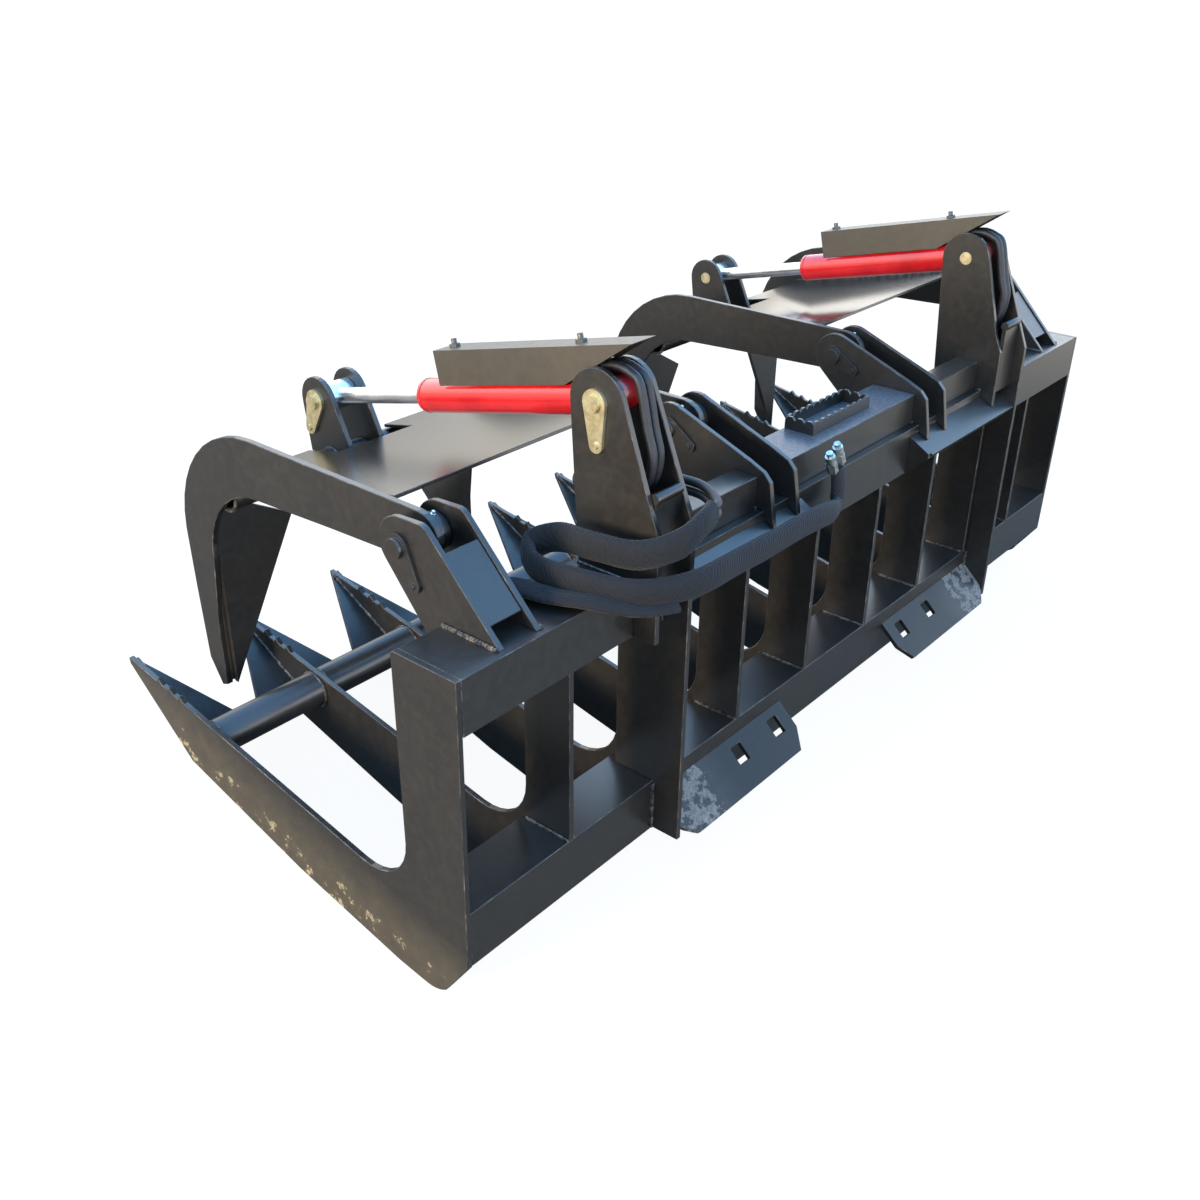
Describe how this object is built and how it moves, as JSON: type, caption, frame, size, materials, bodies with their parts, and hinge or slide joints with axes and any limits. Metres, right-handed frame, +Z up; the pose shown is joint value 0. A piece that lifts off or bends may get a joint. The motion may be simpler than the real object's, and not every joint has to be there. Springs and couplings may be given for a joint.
{
  "type": "root grapple bucket",
  "caption": "Skid-steer root grapple: a tine bucket frame with two hydraulic top grapples, cylinder towers, step and quick-attach lips.",
  "frame": {"origin": "centre of the bounding box on the ground, standing on the tines' flat soles", "axes": "+X across the bucket to the operator's left, -Y to the tine tips, +Y to the loader, +Z up; the tine frame leans 11.7 degrees so that its soles lie flat"},
  "size_m": [2.032, 0.9466, 0.9422],
  "materials": {
    "black_paint": "semi-gloss black paint",
    "red_paint": "gloss red paint",
    "chrome": "hard chrome",
    "yellow_zinc": "yellow zinc plate",
    "zinc": "bright zinc plate",
    "hose_rubber": "matte rubber",
    "woven_sleeve": "woven nylon"
  },
  "bodies": {
    "frame": {"left_end_plate": "black_paint", "right_end_plate": "black_paint", "tine_1": "black_paint", "tine_2": "black_paint", "tine_3": "black_paint", "tine_4": "black_paint", "tine_5": "black_paint", "tine_6": "black_paint", "tine_7": "black_paint", "tine_8": "black_paint", "spade_wings": "black_paint", "front_tube": "black_paint", "top_beam": "black_paint", "lower_beam": "black_paint", "step_rails": "black_paint", "step_box": "black_paint", "step_tread": "black_paint", "top_lips": "black_paint", "left_side_plate": "black_paint", "right_side_plate": "black_paint", "tower_plates": "black_paint", "tower_webs": "black_paint", "bottom_lips": "black_paint", "left_hinge_ears": "black_paint", "right_hinge_ears": "black_paint", "ear_webs": "black_paint", "hinge_pins": "black_paint", "tower_pins": "yellow_zinc", "hose_couplers": "zinc", "tower_hoses": "hose_rubber", "hose_sleeve": "woven_sleeve"},
    "grapple_left": {"left_outer_arm": "black_paint", "left_inner_arm": "black_paint", "left_arm_wings": "black_paint", "left_pivot_bosses": "black_paint", "left_grapple_sheet": "black_paint", "left_cross_tube": "black_paint", "left_lug_ears": "black_paint", "left_lug_pin": "yellow_zinc"},
    "barrel_left": {"left_barrel": "red_paint", "left_gland": "red_paint", "left_guard": "black_paint", "left_port_fittings": "zinc", "left_barrel_hose": "hose_rubber"},
    "rod_left": {"left_rod": "chrome"},
    "grapple_right": {"right_outer_arm": "black_paint", "right_inner_arm": "black_paint", "right_arm_wings": "black_paint", "right_pivot_bosses": "black_paint", "right_grapple_sheet": "black_paint", "right_cross_tube": "black_paint", "right_lug_ears": "black_paint", "right_lug_pin": "yellow_zinc"},
    "barrel_right": {"right_barrel": "red_paint", "right_gland": "red_paint", "right_guard": "black_paint", "right_port_fittings": "zinc", "right_barrel_hose": "hose_rubber"},
    "rod_right": {"right_rod": "chrome"}
  },
  "joints": [
    {"name": "grapple_left_hinge", "type": "hinge", "parent": "frame", "child": "grapple_left", "pos_m": [0.576, 0.09104, 0.65509], "axis": [-1, 0, 0], "range_deg": [0, 55]},
    {"name": "barrel_left_swing", "type": "hinge", "parent": "frame", "child": "barrel_left", "pos_m": [0.612, 0.1781, 0.84157], "axis": [-1, 0, 0], "range_deg": [0, 46.4]},
    {"name": "rod_left_slide", "type": "slide", "parent": "barrel_left", "child": "rod_left", "axis": [0, 0.9074, 0.4202], "range_m": [0, 0.167]},
    {"name": "grapple_right_hinge", "type": "hinge", "parent": "frame", "child": "grapple_right", "pos_m": [-0.576, 0.09104, 0.65509], "axis": [-1, 0, 0], "range_deg": [0, 55]},
    {"name": "barrel_right_swing", "type": "hinge", "parent": "frame", "child": "barrel_right", "pos_m": [-0.542, 0.1781, 0.84157], "axis": [-1, 0, 0], "range_deg": [0, 46.4]},
    {"name": "rod_right_slide", "type": "slide", "parent": "barrel_right", "child": "rod_right", "axis": [0, 0.9074, 0.4202], "range_m": [0, 0.167]}
  ],
  "couplings": [
    {"joint": "barrel_left_swing", "follows": "grapple_left_hinge", "ratio": 0.8246},
    {"joint": "rod_left_slide", "follows": "grapple_left_hinge", "m_per_rad": 0.17147},
    {"joint": "barrel_right_swing", "follows": "grapple_right_hinge", "ratio": 0.8246},
    {"joint": "rod_right_slide", "follows": "grapple_right_hinge", "m_per_rad": 0.17147}
  ]
}
